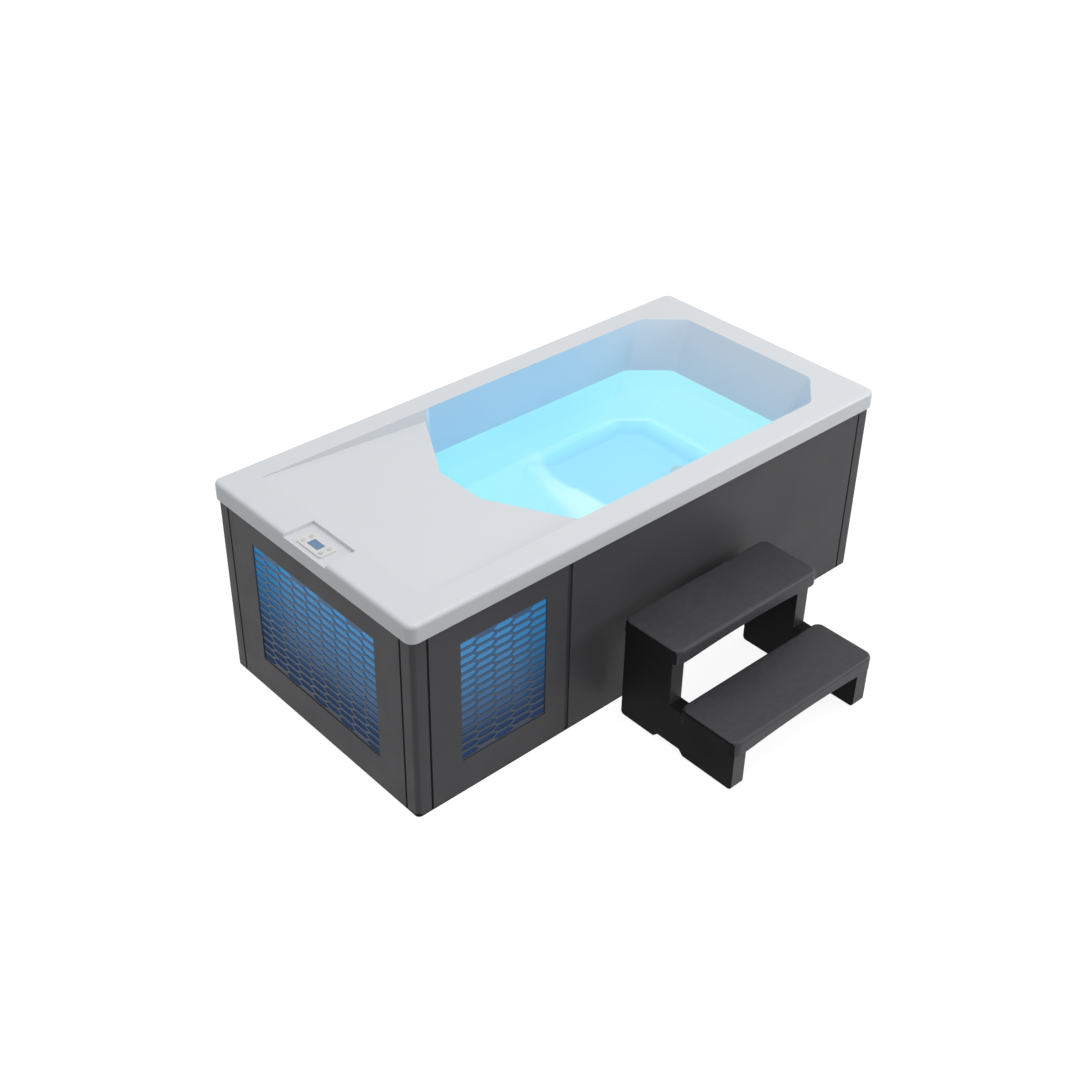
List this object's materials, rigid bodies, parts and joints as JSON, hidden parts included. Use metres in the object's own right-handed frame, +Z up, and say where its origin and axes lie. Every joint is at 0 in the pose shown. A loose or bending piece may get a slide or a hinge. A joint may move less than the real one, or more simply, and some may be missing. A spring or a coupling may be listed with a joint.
{
  "type": "cold plunge tub",
  "caption": "Rectangular one-person cold plunge tub with a sloped back, a lit equipment bay behind mesh grilles, rim controls and a separate two-tread step unit.",
  "frame": {"origin": "centre of the tub's flat underside, on the floor", "axes": "+X along the tub towards the sloped back of the basin, -X towards the equipment end, -Y towards the side where the steps stand, +Z up"},
  "size_m": [2.04, 1.537, 0.73],
  "materials": {
    "acrylic": "moulded acrylic, satin gloss",
    "foam": "closed-cell foam",
    "base_abs": "vacuum-formed ABS, fine grain",
    "frame_steel": "powder coated",
    "timber": "sawn, sealed",
    "panel_grey": "fine matt grain",
    "post_grey": "satin",
    "seam_dark": "satin",
    "screw_black": "black oxide",
    "grille_metal": "powder coated",
    "opal_blue": "translucent sheet, lit",
    "led": "lit strip",
    "keypad_white": "satin",
    "display_blue": "lit display",
    "button_grey": "soft matt",
    "compressor_black": "gloss enamel",
    "coil_aluminium": "bare fins",
    "shroud_black": "moulded",
    "motor_grey": "painted casting",
    "exchanger_blue": "moulded",
    "pump_plastic": "glass-filled, ribbed",
    "impeller_plastic": "moulded",
    "filter_paper": "pleated fleece",
    "box_grey": "moulded",
    "pipe_white": "extruded",
    "fitting_white": "moulded",
    "light_lens": "frosted, lit",
    "steel_bright": "brushed",
    "brass": "cast and machined",
    "lever_red": "dipped vinyl",
    "step_dark": "moulded resin",
    "step_tread": "moulded resin with tread grain",
    "foot_rubber": "matt"
  },
  "bodies": {
    "root": {"tub_shell": "acrylic", "foam_jacket": "foam", "base_pan": "base_abs", "lower_frame": "frame_steel", "upper_frame": "frame_steel", "frame_uprights": "frame_steel", "rim_board": "timber", "cradle_beams": "timber", "side_panel_near": "panel_grey", "side_panel_far": "panel_grey", "bay_panel_near": "panel_grey", "bay_panel_far": "panel_grey", "service_end_panel": "panel_grey", "foot_end_panel": "panel_grey", "corner_post_1": "post_grey", "corner_post_2": "post_grey", "corner_post_3": "post_grey", "corner_post_4": "post_grey", "seam_strips": "seam_dark", "panel_screws": "screw_black", "grille_end": "grille_metal", "grille_near": "grille_metal", "grille_far": "grille_metal", "light_baffles": "opal_blue", "led_strips": "led", "control_panel": "keypad_white", "display_lens": "display_blue", "compressor": "compressor_black", "condenser_coil": "coil_aluminium", "fan_shroud": "shroud_black", "cable_gland": "shroud_black", "fan_motor": "motor_grey", "pump_motor": "motor_grey", "heat_exchanger": "exchanger_blue", "pump_housing": "pump_plastic", "filter_housing": "pump_plastic", "filter_cartridge": "filter_paper", "control_box": "box_grey", "circulation_pipes": "pipe_white", "drain_pipe": "pipe_white", "suction_fitting": "fitting_white", "return_jet": "fitting_white", "basin_light": "light_lens", "drain_fitting": "steel_bright", "drain_valve": "brass"},
    "fan": {"fan_blades": "shroud_black"},
    "impeller": {"pump_impeller": "impeller_plastic"},
    "lid": {"filter_lid": "shroud_black"},
    "inlet_ring": {"jet_ring": "fitting_white"},
    "lever": {"drain_handle": "lever_red"},
    "key_warmer": {"button_warmer": "button_grey"},
    "key_cooler": {"button_cooler": "button_grey"},
    "key_light": {"button_light": "button_grey"},
    "key_filter": {"button_filter": "button_grey"},
    "steps": {"step_side_left": "step_dark", "step_side_right": "step_dark", "step_tread_upper": "step_tread", "step_tread_lower": "step_tread", "step_brace": "step_dark", "step_feet": "foot_rubber"}
  },
  "joints": [
    {"name": "fan_spin", "type": "hinge", "parent": "root", "child": "fan", "pos_m": [-0.833, 0, 0.181], "axis": [1, 0, 0], "continuous": true},
    {"name": "impeller_spin", "type": "hinge", "parent": "root", "child": "impeller", "pos_m": [-0.64, -0.334, 0.11], "axis": [1, 0, 0], "continuous": true},
    {"name": "filter_lid_turn", "type": "hinge", "parent": "root", "child": "lid", "pos_m": [-0.64, -0.125, 0.36], "axis": [0, 0, 1], "range_deg": [0, 90]},
    {"name": "inlet_ring_turn", "type": "hinge", "parent": "root", "child": "inlet_ring", "pos_m": [-0.42, 0.054, 0.33], "axis": [1, 0, 0], "range_deg": [0, 90]},
    {"name": "drain_lever_turn", "type": "hinge", "parent": "root", "child": "lever", "pos_m": [0.909, 0, 0.1], "axis": [0, 0, 1], "range_deg": [0, 90]},
    {"name": "press_warmer", "type": "slide", "parent": "root", "child": "key_warmer", "axis": [0, 0, -1], "range_m": [0, 0.0012], "stiffness_N_per_m": 400},
    {"name": "press_cooler", "type": "slide", "parent": "root", "child": "key_cooler", "axis": [0, 0, -1], "range_m": [0, 0.0012], "stiffness_N_per_m": 400},
    {"name": "press_light", "type": "slide", "parent": "root", "child": "key_light", "axis": [0, 0, -1], "range_m": [0, 0.0012], "stiffness_N_per_m": 400},
    {"name": "press_filter", "type": "slide", "parent": "root", "child": "key_filter", "axis": [0, 0, -1], "range_m": [0, 0.0012], "stiffness_N_per_m": 400},
    {"name": "steps_pull", "type": "slide", "parent": "root", "child": "steps", "axis": [0, -1, 0], "range_m": [0, 0.5]}
  ]
}
